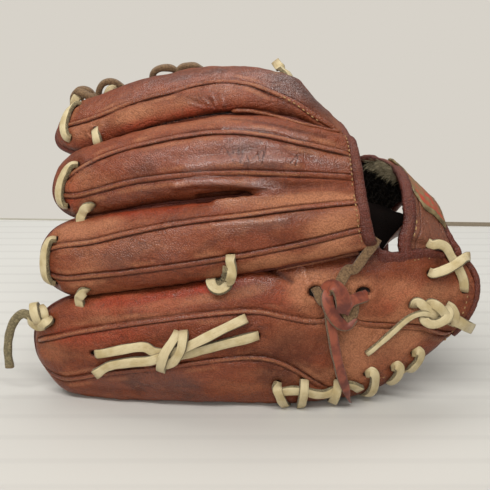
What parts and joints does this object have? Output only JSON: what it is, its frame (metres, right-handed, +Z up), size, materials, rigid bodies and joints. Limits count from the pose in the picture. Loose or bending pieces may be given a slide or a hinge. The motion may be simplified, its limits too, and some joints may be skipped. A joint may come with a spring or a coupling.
{
  "type": "baseball glove",
  "caption": "Worn brown leather infield baseball glove, closed over its pocket, with finger stalls, laced web, open back and wrist strap.",
  "frame": {"origin": "below the middle of the bounding box, on the surface that the glove stands on", "axes": "+Z up; +X from the fingertips to the wrist; the backs of the four fingers face -Y and the thumb's back faces +Y"},
  "size_m": [0.3042, 0.1606, 0.2012],
  "materials": {
    "back_leather": "worn, glossy on the crowns of the fingers",
    "palm_leather": "worn, matt",
    "trim_leather": "worn, cracked at the edges",
    "thong_leather": "matt, with a suede underside",
    "rawhide": "matt, with grey edges",
    "label": "rubbed, plain",
    "fleece": "matted wool"
  },
  "bodies": {
    "root": {"index_back": "back_leather", "middle_back": "back_leather", "ring_back": "back_leather", "pinky_back": "back_leather", "thumb_back": "back_leather", "palm": "palm_leather", "wrist_strap": "back_leather", "strap_label": "label", "strap_pad": "fleece", "web": "back_leather", "index_welt": "trim_leather", "middle_upper_welt": "trim_leather", "middle_lower_welt": "trim_leather", "ring_upper_welt": "trim_leather", "ring_lower_welt": "trim_leather", "pinky_upper_welt": "trim_leather", "pinky_lower_welt": "trim_leather", "thumb_welt": "trim_leather", "index_tip_lace": "rawhide", "middle_tip_lace": "rawhide", "ring_tip_lace": "rawhide", "thumb_tip_lace": "rawhide", "index_middle_lace": "rawhide", "middle_ring_lace": "rawhide", "ring_pinky_lace": "rawhide", "pinky_tip_knot": "rawhide", "ring_pinky_knot": "rawhide", "pinky_back_lace": "rawhide", "heel_lace": "rawhide", "heel_lace_2": "rawhide", "heel_lace_3": "rawhide", "heel_lace_4": "rawhide", "heel_knot": "rawhide", "strap_lace": "rawhide", "web_lace_end": "rawhide", "thumb_heel_lace_1": "rawhide", "thumb_heel_lace_2": "rawhide", "thumb_heel_lace_3": "rawhide", "thong": "thong_leather", "web_loop_index_1": "thong_leather", "web_loop_index_2": "thong_leather", "web_loop_index_3": "thong_leather", "web_loop_index_4": "thong_leather", "web_loop_thumb_1": "thong_leather", "web_loop_thumb_2": "thong_leather", "web_loop_thumb_3": "thong_leather", "web_loop_thumb_4": "thong_leather", "finger_binding": "trim_leather", "strap_binding": "trim_leather", "thumb_binding": "trim_leather", "wrist_binding": "trim_leather", "heel_binding": "trim_leather", "thumb_heel_binding": "trim_leather"}
  },
  "joints": []
}
